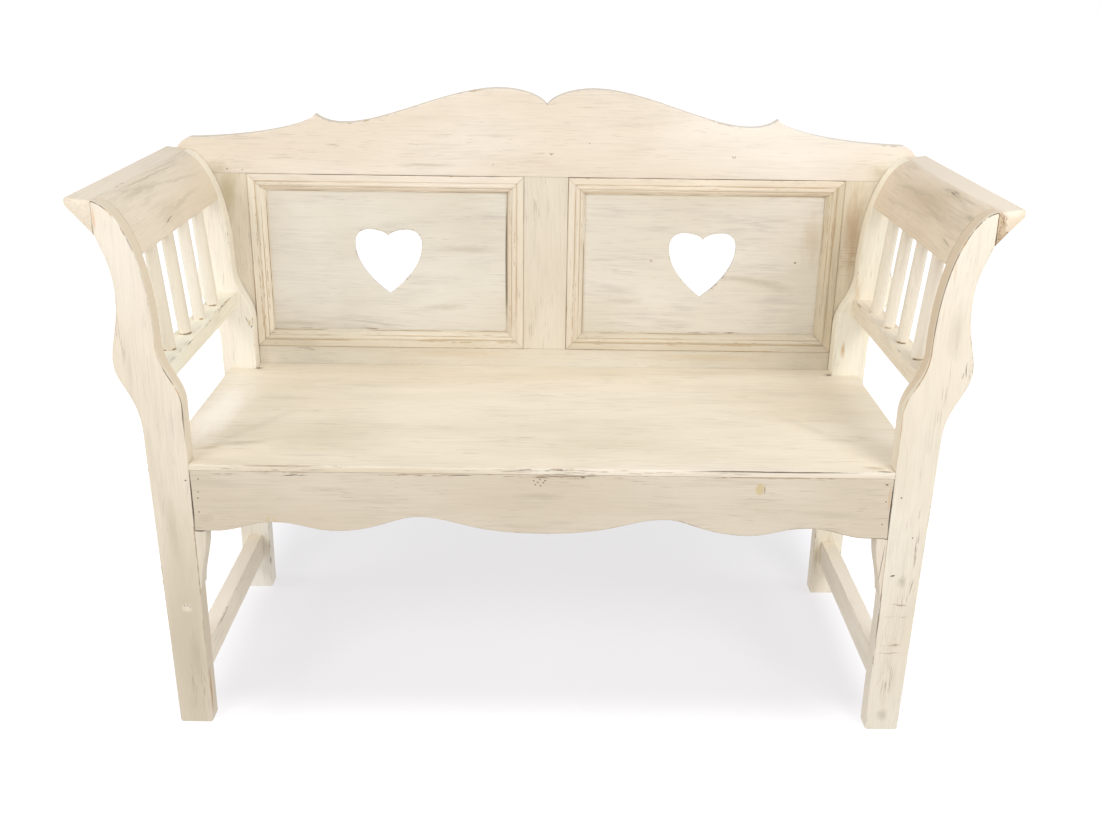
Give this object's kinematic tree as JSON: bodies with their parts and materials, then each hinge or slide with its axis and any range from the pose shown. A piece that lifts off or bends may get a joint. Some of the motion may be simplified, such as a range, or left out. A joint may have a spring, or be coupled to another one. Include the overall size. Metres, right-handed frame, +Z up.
{
  "type": "telephone bench",
  "caption": "Hall bench in whitewashed pine: rolled arms on plain spindles, board seat, scalloped apron, and a panelled back with heart cut-outs under a shaped crest rail.",
  "frame": {"origin": "on the floor, below the middle of the bench's overall width and depth", "axes": "+X to the bench's right-hand end seen from the front, the front faces -Y, +Z up"},
  "size_m": [1.292, 0.494, 0.928],
  "materials": {
    "painted_pine": "worn cream whitewash over pine, satin",
    "panel_pine": "thin greyish whitewash over pine, satin",
    "bare_pine": "unpainted sawn pine"
  },
  "bodies": {
    "root": {"arm_rail_left": "painted_pine", "arm_rail_right": "painted_pine", "arm_rest_left": "painted_pine", "arm_rest_right": "painted_pine", "arm_spindle_left_1": "painted_pine", "arm_spindle_left_2": "painted_pine", "arm_spindle_left_3": "painted_pine", "arm_spindle_left_4": "painted_pine", "arm_spindle_right_1": "painted_pine", "arm_spindle_right_2": "painted_pine", "arm_spindle_right_3": "painted_pine", "arm_spindle_right_4": "painted_pine", "back_bottom_rail": "painted_pine", "back_centre_stile": "painted_pine", "back_crest_rail": "painted_pine", "back_panel_left": "panel_pine", "back_panel_right": "panel_pine", "back_stile_left": "painted_pine", "back_stile_right": "painted_pine", "corner_block_front_left": "bare_pine", "corner_block_front_right": "bare_pine", "corner_block_rear_left": "bare_pine", "corner_block_rear_right": "bare_pine", "front_apron": "painted_pine", "front_leg_bracket_left": "painted_pine", "front_leg_bracket_right": "painted_pine", "front_leg_left": "painted_pine", "front_leg_right": "painted_pine", "moulding_bottom_left": "painted_pine", "moulding_bottom_right": "painted_pine", "moulding_inner_left": "painted_pine", "moulding_inner_right": "painted_pine", "moulding_outer_left": "painted_pine", "moulding_outer_right": "painted_pine", "moulding_top_left": "painted_pine", "moulding_top_right": "painted_pine", "rear_leg_left": "painted_pine", "rear_leg_right": "painted_pine", "seat_bearer_left": "bare_pine", "seat_bearer_right": "bare_pine", "seat_board": "painted_pine", "seat_side_rail_left": "bare_pine", "seat_side_rail_right": "bare_pine", "side_stretcher_left": "painted_pine", "side_stretcher_right": "painted_pine"}
  },
  "joints": []
}
